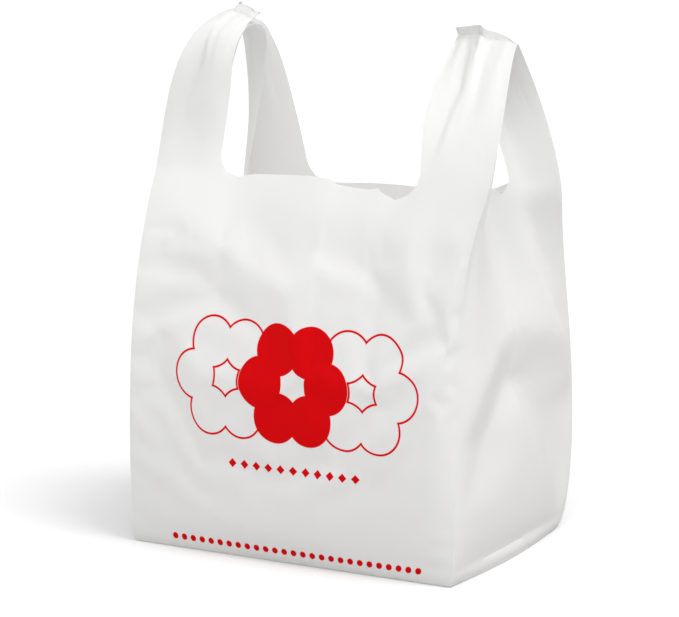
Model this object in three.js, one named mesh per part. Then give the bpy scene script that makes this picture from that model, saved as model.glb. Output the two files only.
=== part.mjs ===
// A white film carrier bag with side gussets and two loop handles, opened out and standing on its base.
// It is one piece of blown film: a gusseted tube, sealed across the bottom and across the top of each handle,
// with the mouth die-cut between the handles. The film is drawn as one sheet and then given its thickness.
// Units are millimetres. +Z is up, the front panel faces -Y, and the origin is under the middle of the base.
import * as THREE from "three";

const { degToRad, lerp, smoothstep } = THREE.MathUtils;

// Film, as it is made
const panelWidth = 292; // front and back panels, from gusset fold to gusset fold
const gussetDepth = 165; // each side gusset, opened out
const filmLength = 533; // from the bottom seal to the top seal
const filmThickness = 0.4; // stands in for film of about 0.013
const handleWidth = 58; // each handle, from its outer fold to the cut
const handleLength = 158; // depth of the mouth's cut
const cutRadius = 18; // round corners at the bottom of the cut
const sealFin = 7; // film left above a handle's top seal

// How the opened bag stands
const cornerWrap = 23; // panel that turns onto the side where the base is squared out
const footRadius = 6; // round edge of the base
const cornerRound = 26; // reach of the rounding at the two corners that the gusset folds have slid away from
const bellySwell = new THREE.Vector2(4, 6); // how far the corners stand out from the base a quarter way up
const bellyLean = new THREE.Vector2(3.5, 1.5); // shift of that section over the base
const panelBulge = 6; // front and back swell by this more in their middle
const gussetBulge = 4; // sides swell by this more in their middle
const mouthDepth = 132; // between the front and back corners at the mouth
const mouthDrop = 18; // the back edge of the mouth hangs this much lower than the front
const leftDrop = 8; // and its left end this much lower still
const mouthSkew = 14; // the right corners stand this much forward of the middle, the left ones back
const mouthLean = new THREE.Vector2(5, 4.5); // shift of the mouth over the base
const mouthTuck = new THREE.Vector2(10, 0); // shift of the mouth's back left corner beyond that
const gussetPinch = 34; // how far the gusset's middle fold is drawn in at the mouth
const fluteDepth = 2; // soft upright folds of the panels below the mouth
const fluteCount = 2.5; // waves of them across a panel
const lipHeight = 13; // height of the folded lip along the foot of each side
const lipDepth = 5.5; // how far the lip stands out at the floor

// Folds that the right gusset, wall 1, and the left one, wall 3, keep from lying flat. From the foot upwards they
// are the edge that the belly stands on, both edges of a valley that runs up to a point and down again, the ridge
// over it and a soft fold under the mouth. Each is a line across the gusset from one fold of the tube to the next,
// its points given as place across, height, and how far it stands out.
const gussetFolds = {
  1: [
    [[0, 46, 0], [38, 55, -0.4], [101, 50, -0.5], [127, 36, -0.5], [152, 16, 0], [165, 10, 0]],
    [[0, 70, 0], [14, 88, -1.4], [38, 98, -5.6], [80, 126, -7.8], [114, 85, -5.8], [139, 60, -2.7], [165, 40, 0]],
    [[0, 100, 0], [38, 103, -5.6], [80, 130, -7.8], [127, 113, -5.5], [152, 110, -2.2], [165, 105, 0]],
    [[0, 116, 0], [25, 145, 3.2], [51, 172, 4.9], [101, 178, 7.5], [127, 180, 8.9], [152, 176, 8.3], [165, 165, 0]],
    [[0, 226, 0], [25, 214, 1], [76, 230, -0.6], [101, 225, 1.2], [127, 235, 5], [139, 215, 7.8], [165, 195, 0]],
  ],
  3: [
    [[0, 20, 0], [80, 28, 0], [120, 40, 0], [165, 40, 0]],
    [[0, 70, 0], [46, 79, -5], [81, 132, -6], [120, 98, -4], [165, 90, 0]],
    [[0, 110, 0], [12, 112, -0.3], [51, 110, -4.6], [81, 134, -6], [120, 105, -4], [165, 103, 0]],
    [[0, 175, 0], [12, 175, 2.8], [73, 174, 6], [113, 156, 4], [152, 134, 1.7], [165, 125, 0]],
    [[0, 225, 0], [25, 209, 4], [38, 246, 4.2], [51, 221, 4.8], [76, 262, 0.2], [165, 210, 0]],
  ],
};

// Uneven cut of the mouth's front edge: places across the panel, and how far the edge rises there
const mouthCut = [
  [76, 0], [93, 3], [142, 6.5], [163, 5.5], [182, 0.5], [204, 0], [216, -5], [229, -3], [242, 0],
];

// How each handle stands. First its seal: how far its middle lies in from the outer folds and behind the middle of
// the base, how much of the handle's length goes into leaning over, its turn, its gathered length, its rise on the
// way from the fold to the cut edge, and the lean of its fin to the back at those two ends. Then its shoulders, just
// under the seal: how far they lie below it, and for the front strip and the back strip how far out they reach, how
// far aside the fold lies, their width, and how far the panel's cut edge stands aside between mouth and shoulder.
const handles = [
  {
    side: -1,
    inset: 44,
    behind: 6,
    slack: 41,
    turn: degToRad(-45),
    sealLength: 46,
    sealRise: [[0, 0], [0.4, 0], [0.6, -3], [1, -6]],
    lean: [degToRad(20), degToRad(52)],
    drop: 8,
    front: { reach: 58, hip: 29, waist: 49, aside: new THREE.Vector3() },
    back: { reach: 52, hip: 24, waist: 30, aside: new THREE.Vector3() },
  },
  {
    side: 1,
    inset: 38,
    behind: 3,
    slack: 51,
    turn: degToRad(-4),
    sealLength: 52,
    sealRise: [[0, -3], [0.44, -3], [0.54, 1], [1, -1]],
    lean: [degToRad(25), degToRad(-40)],
    drop: 14,
    front: { reach: 13, hip: 24, waist: 50, aside: new THREE.Vector3(-6, -3.6, 0) },
    back: { reach: 13, hip: 24, waist: 50, aside: new THREE.Vector3(18, 7.2, 0) },
  },
];
const rootRise = 48; // how far a handle follows the wall's slope above the mouth
const pleatDepth = 2.8; // gathers under each seal
const pleatCount = 1.4; // waves of the gathers across a handle
const seamGap = 1.6; // between the two sides of a seal, middle to middle
const layerGap = 4; // between a handle's panel layer and its gusset layer

// Shape of the curves, as shares and powers
const cornerTurn = 4; // how late up the wall a corner leaves its place on the base for its place at the mouth
const cornerEase = 0.25; // depth of a corner's rounding, as a share of its reach
const foldStart = 0.35; // share of the wall's height where the gusset's fold and the panels' flutes begin
const foldSharpness = 1.55; // 1 draws the gusset's fold with straight sides, more with hollow ones
const foldRound = 0.2; // how far the gusset's middle fold is rounded, as a share of half its width
const cutGap = 0.75; // most of the cut's half width that its round corner may take
const layerReach = 0.2; // share of a strip's width over which its two layers part from their fold
const pleatStart = 0.35; // share of a handle's length where its gathers begin
const pleatFull = 0.9; // share of it where they are full
const pleatReach = 0.5; // share of a strip's width over which they grow from its fold
const frontSwing = { power: 4, rise: [0.02, 0.42], fall: [0.45, 1] }; // how a front strip's cut edge stands aside
const backSwing = { power: 2, rise: [0, 0.12], fall: [0.25, 0.7] }; // how a back strip's does
const rowCrowding = 1.12; // 1 spaces the body's rows evenly, more crowds them towards the foot

// Mesh density
const strapColumns = 6; // across each layer of a handle
const mouthColumns = 8; // across the mouth, front and back
const gapColumns = 2; // across the gusset's middle, between two handle strips
const footRows = 2; // round the edge of the base
const bodyRows = 15; // up each wall
const cornerRows = 3; // round a corner of the cut
const strapRows = 8; // along each handle strip above its round corner
const baseRings = 3; // across half the base

// Sizes that follow
const baseHalf = new THREE.Vector2((panelWidth - cornerWrap) / 2, (gussetDepth + cornerWrap) / 2);
const mouthHalf = new THREE.Vector2(panelWidth / 2, mouthDepth / 2);
const mouthHeight = filmLength - handleLength - baseHalf.y;

// The bag's corners, counted anticlockwise from the front left. Wall n runs from corner n to the next one.
const corners = [
  new THREE.Vector2(-1, -1),
  new THREE.Vector2(1, -1),
  new THREE.Vector2(1, 1),
  new THREE.Vector2(-1, 1),
];
const walls = corners.map((_, wall) => wall);
const isGusset = (wall) => wall % 2 === 1;
const wallWidth = (wall) => (isGusset(wall) ? gussetDepth : panelWidth);

// The cut's round corner, no larger than the film left between a wall's two handle strips allows.
const cutRadiusOf = (wall) => Math.min(cutRadius, cutGap * (wallWidth(wall) / 2 - handleWidth));

// A value read along a line of points, each given as its place and its value.
function along(line, place) {
  const next = line.findIndex(([at]) => at >= place);
  if (next <= 0) return next < 0 ? line[line.length - 1][1] : line[0][1];
  const [from, low] = line[next - 1];
  const [to, high] = line[next];
  return lerp(low, high, (place - from) / (to - from));
}

// How much of the belly shows at a share of the wall's height: most at a quarter, none at the foot and mouth.
const belly = (share) => Math.sin(Math.PI * Math.sqrt(share));

// A corner at a share of the wall's height: the base's rectangle below, the skewed and leaning mouth above.
function cornerAt(corner, share, inset) {
  const sign = corners[corner % corners.length];
  const low = new THREE.Vector2(sign.x * (baseHalf.x - inset), sign.y * (baseHalf.y - inset));
  low.addScaledVector(bellySwell.clone().multiply(sign).add(bellyLean), belly(share));
  const high = mouthHalf.clone().multiply(sign).add(mouthLean);
  high.y -= sign.x * mouthSkew;
  if (sign.x < 0 && sign.y > 0) high.add(mouthTuck);
  return low.lerp(high, share ** cornerTurn);
}

// How far a gusset's folds carry it out: flat film between one fold and the next above it.
function foldOffset(wall, across, height) {
  const place = across * gussetDepth;
  const line = gussetFolds[wall].map((fold) => [
    along(fold.map(([at, level]) => [at, level]), place),
    along(fold.map(([at, , out]) => [at, out]), place),
  ]);
  return along([[0, 0], ...line, [mouthHeight, 0]], height);
}

// How far a wall stands out from the straight line between its corners, at a share of its width and height.
function wallOffset(wall, across, share, height) {
  const crown = Math.sin(Math.PI * across);
  const folded = smoothstep(share, foldStart, 1);
  if (!isGusset(wall)) {
    const flute = fluteDepth * Math.sin(2 * Math.PI * fluteCount * across);
    return crown * (panelBulge * belly(share) + flute * folded);
  }
  const fromFold = (Math.hypot(2 * across - 1, foldRound) - foldRound) / (Math.hypot(1, foldRound) - foldRound);
  const pinch = gussetPinch * Math.max(1 - fromFold, 0) ** foldSharpness;
  const lip = lipDepth * (1 - smoothstep(height, 0, lipHeight));
  const fold = foldOffset(wall, across, height) * smoothstep(height, footRadius, 4 * footRadius);
  return crown * (gussetBulge * belly(share) + lip) - pinch * folded + fold;
}

// A point of a wall's outline at a share of its width and height. Two of the corners are rounded halfway up.
function outlinePoint(wall, across, share, height, inset = 0) {
  const from = cornerAt(wall, share, inset);
  const run = cornerAt(wall + 1, share, inset).sub(from);
  const out = new THREE.Vector2(run.y, -run.x).normalize();
  const offset = wallOffset(wall, across, share, height);
  const point = from.addScaledVector(run, across).addScaledVector(out, offset);
  const near = Math.round(across);
  const corner = (wall + near) % corners.length;
  if (corner % 2 === 0) return point;
  const closeness = Math.max(0, 1 - (Math.abs(near - across) * wallWidth(wall)) / cornerRound);
  const ease = cornerEase * cornerRound * closeness ** 2 * Math.sin(Math.PI * share);
  return point.addScaledVector(corners[corner], -ease);
}

// Height of the mouth's edge over a point of its outline: lower at the back than at the front.
function mouthLevel(wall, across, point) {
  const back = (point.y - mouthLean.y + mouthHalf.y) / mouthDepth;
  const left = (mouthLean.x - point.x) / mouthHalf.x;
  const drop = (mouthDrop + leftDrop * smoothstep(left, 0, 1)) * smoothstep(back, 0, 1);
  return mouthHeight - drop + (wall === 0 ? along(mouthCut, across * panelWidth) : 0);
}

// Columns of the outline as shares of a wall's width: a handle strip, the mouth or gusset gap, another strip.
function wallColumns(wall) {
  const strip = (handleWidth + cutRadiusOf(wall)) / wallWidth(wall);
  const middle = isGusset(wall) ? gapColumns : mouthColumns;
  const shares = [];
  for (let i = 0; i < strapColumns; i++) shares.push((strip * i) / strapColumns);
  for (let i = 0; i < middle; i++) shares.push(lerp(strip, 1 - strip, i / middle));
  for (let i = 0; i < strapColumns; i++) shares.push(lerp(1 - strip, 1, i / strapColumns));
  return shares;
}
const columns = walls.flatMap((wall) => wallColumns(wall).map((across) => ({ wall, across })));
const wallStart = walls.map((wall) => columns.findIndex((column) => column.wall === wall));

// The film as one open sheet: its points, and its faces wound so that they face outwards.
const points = [];
const faces = [];
const addPoint = (x, y, z) => points.push(new THREE.Vector3(x, y, z)) - 1;

// Joins two rows of equal length into a strip of faces, the second row lying above the first.
function joinRows(low, high, closed) {
  const count = closed ? low.length : low.length - 1;
  for (let i = 0; i < count; i++) {
    const next = (i + 1) % low.length;
    faces.push([low[i], low[next], high[next]], [low[i], high[next], high[i]]);
  }
}

// One row round the edge of the base, at an angle from its flat underside.
function footRow(angle) {
  const inset = footRadius * (1 - Math.sin(angle));
  const height = footRadius * (1 - Math.cos(angle));
  return columns.map(({ wall, across }) => {
    const point = outlinePoint(wall, across, 0, height, inset);
    return addPoint(point.x, point.y, height + filmThickness / 2);
  });
}

// One row up the walls, at a share of each column's height from the foot to the mouth.
function wallRow(share) {
  return columns.map(({ wall, across }) => {
    const top = mouthLevel(wall, across, outlinePoint(wall, across, 1, mouthHeight));
    const height = lerp(footRadius, top, share);
    const point = outlinePoint(wall, across, share, height);
    return addPoint(point.x, point.y, height + filmThickness / 2);
  });
}

// The base: rings that shrink onto the middle of the bottom, closed by a fan.
function addBase(foot) {
  const level = filmThickness / 2;
  let outer = foot;
  for (let ring = 1; ring < baseRings; ring++) {
    const scale = 1 - ring / baseRings;
    const inner = foot.map((index) => addPoint(points[index].x * scale, points[index].y * scale, level));
    joinRows(inner, outer, true);
    outer = inner;
  }
  const middle = addPoint(0, 0, level);
  outer.forEach((index, i) => faces.push([middle, outer[(i + 1) % outer.length], index]));
}

// The bag from its base up to the mouth. It returns the row at the mouth.
function addBody() {
  const rows = [];
  for (let i = 0; i < footRows; i++) rows.push(footRow(((i / footRows) * Math.PI) / 2));
  for (let i = 0; i <= bodyRows; i++) rows.push(wallRow((i / bodyRows) ** rowCrowding));
  addBase(rows[0]);
  for (let i = 1; i < rows.length; i++) joinRows(rows[i - 1], rows[i], true);
  return rows[rows.length - 1];
}

// Width of a handle strip's layer at a height above the bottom of the cut, its round corner included.
function layerWidth(wall, height) {
  const radius = cutRadiusOf(wall);
  const drop = Math.max(0, radius - height);
  return handleWidth + radius - Math.sqrt(radius ** 2 - drop ** 2);
}

// Heights of a strip's rows above the bottom of the cut: close together round the cut's corner, then even.
const stripHeights = [];
for (let i = 1; i <= cornerRows; i++) {
  const angle = ((i / cornerRows) * Math.PI) / 2;
  stripHeights.push(cutRadius * (1 - Math.cos(angle)));
}
for (let i = 1; i <= strapRows; i++) stripHeights.push(lerp(cutRadius, handleLength, i / strapRows));

// A level direction turned with a handle's seal, and the middle of that seal.
const up = new THREE.Vector3(0, 0, 1);
const turned = (handle, x, y) => new THREE.Vector3(x, y, 0).applyAxisAngle(up, handle.turn);
const sealMiddle = ({ side, inset, behind, slack }) =>
  new THREE.Vector3(side * (mouthHalf.x - inset) + mouthLean.x, behind, mouthHeight + handleLength - slack);

// Where a handle strip leaves the mouth, and the point that the wall's slope carries it to above the mouth.
// cross runs from -1 at the panel's cut edge through 0 at the corner's fold to 1 at the gusset's cut edge.
// The panel lies after an even corner and before an odd one.
function stripRoot(corner, cross, height) {
  const after = (corner % 2 === 0) === cross < 0;
  const wall = after ? corner : (corner + corners.length - 1) % corners.length;
  const distance = (Math.abs(cross) * layerWidth(wall, height)) / wallWidth(wall);
  const across = after ? distance : 1 - distance;
  const level = mouthLevel(wall, across, outlinePoint(wall, across, 1, mouthHeight));
  const mouth = outlinePoint(wall, across, 1, level);
  const below = outlinePoint(wall, across, 1 - rootRise / mouthHeight, level - rootRise);
  const root = new THREE.Vector3(mouth.x, mouth.y, level + filmThickness / 2);
  const above = root.clone().add(new THREE.Vector3(mouth.x - below.x, mouth.y - below.y, rootRise));
  return { root, above };
}

// How much a panel's cut edge stands aside at a share of its strip's length.
const swingAt = ({ rise, fall }, share) =>
  smoothstep(share, ...rise) * (1 - smoothstep(share, ...fall));

// One handle strip's point, at a height measured along the strip from the bottom of the cut. The strip is an
// open angle where it leaves the mouth and closes on itself towards the seal, with its gusset layer inside.
function stripPoint(handle, corner, cross, height) {
  const facing = corners[corner].y;
  const { reach, hip, waist, aside } = facing < 0 ? handle.front : handle.back;
  const place = Math.abs(cross);
  const layer = Math.sign(cross) * (layerGap / 2) * smoothstep(place, 0, layerReach);
  const { root, above } = stripRoot(corner, cross, height);
  const shoulder = sealMiddle(handle);
  shoulder.x += handle.side * (hip - waist * place);
  shoulder.y += facing * (reach - layer);
  shoulder.z -= handle.drop;
  const seal = sealMiddle(handle);
  seal.addScaledVector(turned(handle, -handle.side, 0), handle.sealLength * (place - 0.5));
  seal.addScaledVector(turned(handle, 0, facing), seamGap);
  seal.z += along(handle.sealRise, place) - layer;

  const share = height / handleLength;
  const point = new THREE.CubicBezierCurve3(root, above, shoulder, seal).getPoint(share);
  const wave = Math.sin(2 * Math.PI * pleatCount * place);
  const fade = smoothstep(place, 0, pleatReach) * smoothstep(share, pleatStart, pleatFull);
  point.addScaledVector(turned(handle, 0, 1), pleatDepth * wave * fade);
  const swing = facing < 0 ? frontSwing : backSwing;
  return cross < 0 ? point.addScaledVector(aside, place ** swing.power * swingAt(swing, share)) : point;
}

// One strip from the mouth's row up to its seal, as rows of point numbers from one cut edge to the other.
function stripRows(handle, corner, crosses, mouthRow) {
  const start = wallStart[corner] - strapColumns + mouthRow.length;
  const rows = [crosses.map((_, i) => mouthRow[(start + i) % mouthRow.length])];
  for (const height of stripHeights) {
    const row = crosses.map((cross) => stripPoint(handle, corner, cross, height));
    rows.push(row.map((point) => addPoint(point.x, point.y, point.z)));
  }
  return rows;
}

// The edge of the fin of film that stands above a seal, on the panel layer alone.
function finRow(handle, corner, crosses, sealRow) {
  const inwards = turned(handle, 0, -corners[corner].y);
  return sealRow.map((index, i) => {
    const lean = lerp(...handle.lean, Math.abs(crosses[i]));
    const length = sealFin * smoothstep(-crosses[i], 0, layerReach);
    const point = points[index].clone().addScaledVector(inwards, seamGap / 2);
    point.addScaledVector(turned(handle, 0, 1), length * Math.sin(lean));
    return addPoint(point.x, point.y, point.z + length * Math.cos(lean));
  });
}

// At a handle's outer fold the two layers face opposite ways, so the way out is the line halving the fold.
const foldFacing = new Map();
function noteFold(row) {
  const [before, fold, after] = row.slice(strapColumns - 1, strapColumns + 2).map((index) => points[index]);
  const middle = before.clone().lerp(after, 0.5);
  foldFacing.set(row[strapColumns], fold.clone().sub(middle).normalize());
}

// A handle: a front strip and a back strip that meet at the seal.
function addHandle(handle, mouthRow) {
  const ends = (handle.side < 0 ? [0, 3] : [1, 2]).map((corner) => {
    const crosses = [];
    for (let i = -strapColumns; i <= strapColumns; i++) crosses.push(i / strapColumns);
    if (corner % 2 === 0) crosses.reverse();
    const rows = stripRows(handle, corner, crosses, mouthRow);
    rows.slice(1).forEach(noteFold);
    const seal = rows[rows.length - 1];
    const fin = finRow(handle, corner, crosses, seal);
    foldFacing.set(fin[strapColumns], foldFacing.get(seal[strapColumns]));
    rows.push(fin);
    for (let i = 1; i < rows.length; i++) joinRows(rows[i - 1], rows[i], false);
    return fin;
  });
  joinRows(ends[0], ends[1].reverse(), false);
}

// Gives the open sheet its thickness: an outer skin, an inner skin, and a narrow face along every free edge.
function thicken() {
  const facing = points.map(() => new THREE.Vector3());
  for (const face of faces) {
    const triangle = new THREE.Triangle(...face.map((index) => points[index]));
    const normal = triangle.getNormal(new THREE.Vector3());
    face.forEach((index, i) => {
      const next = points[face[(i + 1) % 3]].clone().sub(points[index]);
      const last = points[face[(i + 2) % 3]].clone().sub(points[index]);
      facing[index].addScaledVector(normal, next.angleTo(last));
    });
  }
  facing.forEach((direction) => direction.normalize());
  foldFacing.forEach((direction, index) => facing[index].copy(direction));
  const moved = (offset) => points.map((point, i) => point.clone().addScaledVector(facing[i], offset));
  const skin = (offset) => moved(offset).flatMap((point) => point.toArray());

  const inner = points.length;
  const index = [];
  const edges = new Set(faces.flatMap(([a, b, c]) => [`${a} ${b}`, `${b} ${c}`, `${c} ${a}`]));
  for (const [a, b, c] of faces) {
    index.push(a, b, c, a + inner, c + inner, b + inner);
    for (const [from, to] of [[a, b], [b, c], [c, a]]) {
      if (edges.has(`${to} ${from}`)) continue;
      index.push(to, from, from + inner, to, from + inner, to + inner);
    }
  }
  const geometry = new THREE.BufferGeometry();
  const position = [...skin(filmThickness / 2), ...skin(-filmThickness / 2)];
  geometry.setAttribute("position", new THREE.Float32BufferAttribute(position, 3));
  geometry.setIndex(index);
  geometry.computeVertexNormals();
  return geometry;
}

const mouthRow = addBody();
for (const handle of handles) addHandle(handle, mouthRow);

const film = new THREE.MeshStandardMaterial({ color: 0xeeeeec, roughness: 0.42, metalness: 0 });
film.name = "white film";
const bag = new THREE.Mesh(thicken(), film);
bag.name = "bag";

const carrierBag = new THREE.Group();
carrierBag.name = "carrier_bag";
carrierBag.add(bag);

export default carrierBag;
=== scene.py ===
import math

import bpy
import numpy as np
from mathutils import Matrix, Vector
from mathutils.geometry import delaunay_2d_cdt


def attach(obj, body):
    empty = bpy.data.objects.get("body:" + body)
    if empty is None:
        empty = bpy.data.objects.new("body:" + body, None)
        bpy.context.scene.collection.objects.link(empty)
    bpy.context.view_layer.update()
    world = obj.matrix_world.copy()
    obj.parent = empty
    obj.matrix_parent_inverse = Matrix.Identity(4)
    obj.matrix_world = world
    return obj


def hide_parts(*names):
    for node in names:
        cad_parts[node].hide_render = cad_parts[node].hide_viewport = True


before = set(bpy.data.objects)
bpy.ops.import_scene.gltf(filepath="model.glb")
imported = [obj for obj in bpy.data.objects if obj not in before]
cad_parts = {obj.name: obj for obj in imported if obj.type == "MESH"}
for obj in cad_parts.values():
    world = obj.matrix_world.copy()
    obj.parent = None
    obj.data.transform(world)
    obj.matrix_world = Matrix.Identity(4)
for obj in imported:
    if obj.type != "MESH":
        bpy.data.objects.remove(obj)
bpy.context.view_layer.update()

# Camera
# A long lens looks down a little on the bag's front right corner, so its upright edges stay almost parallel.
# The angles and the distance are those that put the corners of the base where they are in the picture.
image_width = 679
focal_pixels = 2970
camera_azimuth = math.radians(28.45)
camera_pitch = math.radians(11.11)
camera_distance = 2.290
camera_right = -0.0066
camera_up = 0.1738

ahead = Vector((
    -math.sin(camera_azimuth) * math.cos(camera_pitch),
    math.cos(camera_azimuth) * math.cos(camera_pitch),
    -math.sin(camera_pitch),
))
rightward = Vector((math.cos(camera_azimuth), math.sin(camera_azimuth), 0))
upward = rightward.cross(ahead)
camera_data = bpy.data.cameras.new("camera")
camera_data.lens = focal_pixels * camera_data.sensor_width / image_width
camera = bpy.data.objects.new("camera", camera_data)
camera.matrix_world = Matrix((rightward, upward, -ahead)).transposed().to_4x4()
camera.location = rightward * camera_right + upward * camera_up - ahead * camera_distance
bpy.context.scene.collection.objects.link(camera)
bpy.context.scene.camera = camera

# Floor and light
# A plain white floor under an even white sky, with two broad soft lights high up, in front and to the right.
# The floor gives the bag less light than it shows to the camera, so what faces down stays a little darker.
# Each light's azimuth round from the front, its height and its spread are in degrees.
floor_half = 14.0
floor_bounce = (0.5, 0.5, 0.5, 1)
floor_shown = (0.76, 0.76, 0.76, 1)
floor_roughness = 0.9
floor_shine = 0.0
sky_white = (1, 1, 1, 1)
sky_strength = 0.81
suns = [
    dict(name="key", azimuth=22, height=52, spread=28, strength=0.83),
    dict(name="side", azimuth=80, height=62, spread=28, strength=1.5),
]

floor_mesh = bpy.data.meshes.new("floor")
floor_corners = [(x * floor_half, y * floor_half, 0) for x, y in ((-1, -1), (1, -1), (1, 1), (-1, 1))]
floor_mesh.from_pydata(floor_corners, [], [(0, 1, 2, 3)])
floor = bpy.data.objects.new("floor", floor_mesh)
bpy.context.scene.collection.objects.link(floor)

floor_material = bpy.data.materials.new("white floor")
floor_material.use_nodes = True
floor_tree = floor_material.node_tree
floor_shader = floor_tree.nodes["Principled BSDF"]
floor_shader.inputs["Roughness"].default_value = floor_roughness
floor_shader.inputs["Specular IOR Level"].default_value = floor_shine
floor_path = floor_tree.nodes.new("ShaderNodeLightPath")
floor_mix = floor_tree.nodes.new("ShaderNodeMix")
floor_mix.data_type = "RGBA"
floor_mix.inputs["A"].default_value = floor_bounce
floor_mix.inputs["B"].default_value = floor_shown
floor_tree.links.new(floor_path.outputs["Is Camera Ray"], floor_mix.inputs["Factor"])
floor_tree.links.new(floor_mix.outputs["Result"], floor_shader.inputs["Base Color"])
floor_mesh.materials.append(floor_material)

world = bpy.data.worlds.new("studio")
world.use_nodes = True
bpy.context.scene.world = world
sky = world.node_tree.nodes["Background"]
sky.inputs["Color"].default_value = sky_white
sky.inputs["Strength"].default_value = sky_strength

for sun in suns:
    sun_data = bpy.data.lights.new(sun["name"], "SUN")
    sun_data.energy = sun["strength"]
    sun_data.angle = math.radians(sun["spread"])
    sun_object = bpy.data.objects.new(sun["name"], sun_data)
    azimuth = math.radians(sun["azimuth"])
    rise = math.radians(sun["height"])
    level = math.cos(rise)
    sun_from = Vector((math.sin(azimuth) * level, -math.cos(azimuth) * level, math.sin(rise)))
    sun_object.location = sun_from * camera_distance
    sun_object.rotation_euler = sun_from.to_track_quat("Z", "Y").to_euler()
    bpy.context.scene.collection.objects.link(sun_object)
bpy.context.scene.view_settings.view_transform = "Standard"

# Film, as it is made
# The bag is one piece of blown high-density polyethylene film: a tube with two side gussets, sealed across
# the bottom and across the top of each handle, with the mouth die-cut between the handles.
panel_width = 0.292
gusset_depth = 0.165
film_length = 0.533
handle_width = 0.058
handle_length = 0.158
cut_radius = 0.018
seal_fin = 0.007

# The opened bag as it stands
# Its base is squared out and the film has slid round it, so two of its gusset folds have left their corners.
# The sides belly out low down and draw in below the mouth, where the gussets keep their middle folds. A ledge
# of film runs along the foot of each side.
corner_wrap = 0.023
foot_radius = 0.002
corner_round = 0.026
belly_place = 0.6
belly_swell = np.array((0.004, 0.006))
belly_lean = np.array((0.0035, 0.0015))
panel_bulge = 0.006
gusset_bulge = 0.004
mouth_depth = 0.132
mouth_drop = 0.018
left_drop = 0.008
mouth_skew = 0.014
mouth_lean = np.array((0.005, 0.0045))
mouth_tuck = np.array(((0, 0), (0, 0), (0, 0), (0.010, 0)))
gusset_pinch = 0.034
flute_depth = 0.002
flute_count = 2.5
lip_heights = (0, 0.009, 0.0115, 0.030)
lip_depths = (0.0065, 0.0025, -0.001, 0)
corner_turn = 4
corner_ease = 0.25
fold_start = 0.35
fold_sharpness = 1.55
fold_round = 0.2
cut_gap = 0.75

base_half = np.array(((panel_width - corner_wrap) / 2, (gusset_depth + corner_wrap) / 2))
mouth_half = np.array((panel_width / 2, mouth_depth / 2))
mouth_height = film_length - handle_length - base_half[1]

corner_sign = np.array(((-1, -1), (1, -1), (1, 1), (-1, 1)), float)
wall_width = (panel_width, gusset_depth, panel_width, gusset_depth)
wall_left = np.cumsum([0.0] + list(wall_width))
wall_radius = [min(cut_radius, cut_gap * (width / 2 - handle_width)) for width in wall_width]


def smoothstep(value, low, high):
    """Rises smoothly from nothing at the low value to one at the high value."""
    share = np.clip((value - low) / (high - low), 0, 1)
    return share * share * (3 - 2 * share)


def belly(share):
    """How much of the belly shows at a share of the wall's height: most near a third, none at either end."""
    return np.sin(np.pi * share ** belly_place)


def corner_at(corner, share, inset):
    """A corner at a share of the wall's height: the base's rectangle below, the skewed mouth above."""
    sign = corner_sign[corner % 4]
    low = sign * (base_half - inset) + (belly_swell * sign + belly_lean) * belly(share)[..., None]
    high = mouth_half * sign + mouth_lean + mouth_tuck[corner % 4] - np.array((0, sign[0] * mouth_skew))
    return low + (high - low) * (share ** corner_turn)[..., None]


def wall_offset(wall, across, share, height):
    """How far a wall stands out from the straight line between its corners."""
    crown = np.sin(np.pi * across)
    folded = smoothstep(share, fold_start, 1)
    if wall % 2 == 0:
        flute = flute_depth * np.sin(2 * np.pi * flute_count * across)
        return crown * (panel_bulge * belly(share) + flute * folded)
    whole = math.hypot(1, fold_round) - fold_round
    from_fold = (np.hypot(2 * across - 1, fold_round) - fold_round) / whole
    pinch = gusset_pinch * (1 - from_fold) ** fold_sharpness
    lip = np.interp(height, lip_heights, lip_depths)
    return crown * (gusset_bulge * belly(share) + lip) - pinch * folded


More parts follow.
